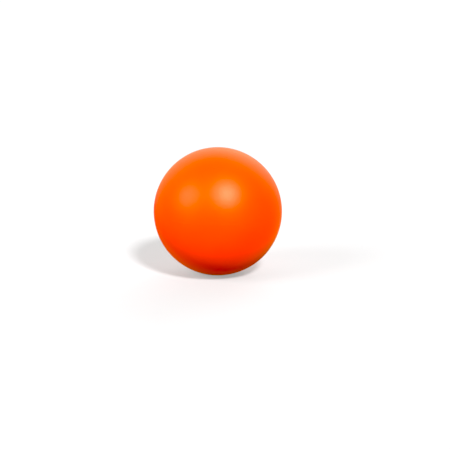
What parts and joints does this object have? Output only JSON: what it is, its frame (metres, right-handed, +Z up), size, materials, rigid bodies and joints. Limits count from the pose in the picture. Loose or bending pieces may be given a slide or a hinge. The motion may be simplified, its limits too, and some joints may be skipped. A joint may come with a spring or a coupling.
{
  "type": "stress ball",
  "caption": "Round foam stress ball with a sprayed colour coat over a moulded foam body; the upper half squeezes down towards the lower half and springs back.",
  "frame": {"origin": "middle of the small flat at the bottom, on which the ball rests", "axes": "+Z up through the middle of the ball, +X to the right and +Y away from the viewer"},
  "size_m": [0.07, 0.07, 0.0696],
  "materials": {
    "colour_coat": "satin orange polyurethane coat",
    "foam_skin": "dense matte foam skin",
    "foam_core": "soft open-cell foam"
  },
  "bodies": {
    "lower_half": {"lower_core": "foam_core", "lower_skin": "foam_skin", "lower_coat": "colour_coat", "gate_plug": "foam_skin"},
    "upper_half": {"upper_core": "foam_core", "upper_skin": "foam_skin", "upper_coat": "colour_coat"}
  },
  "joints": [
    {"name": "squeeze", "type": "slide", "parent": "lower_half", "child": "upper_half", "axis": [0, 0, -1], "range_m": [0, 0.028], "stiffness_N_per_m": 1500, "deforming": ["lower_core", "lower_skin", "lower_coat", "upper_core", "upper_skin", "upper_coat"]}
  ]
}
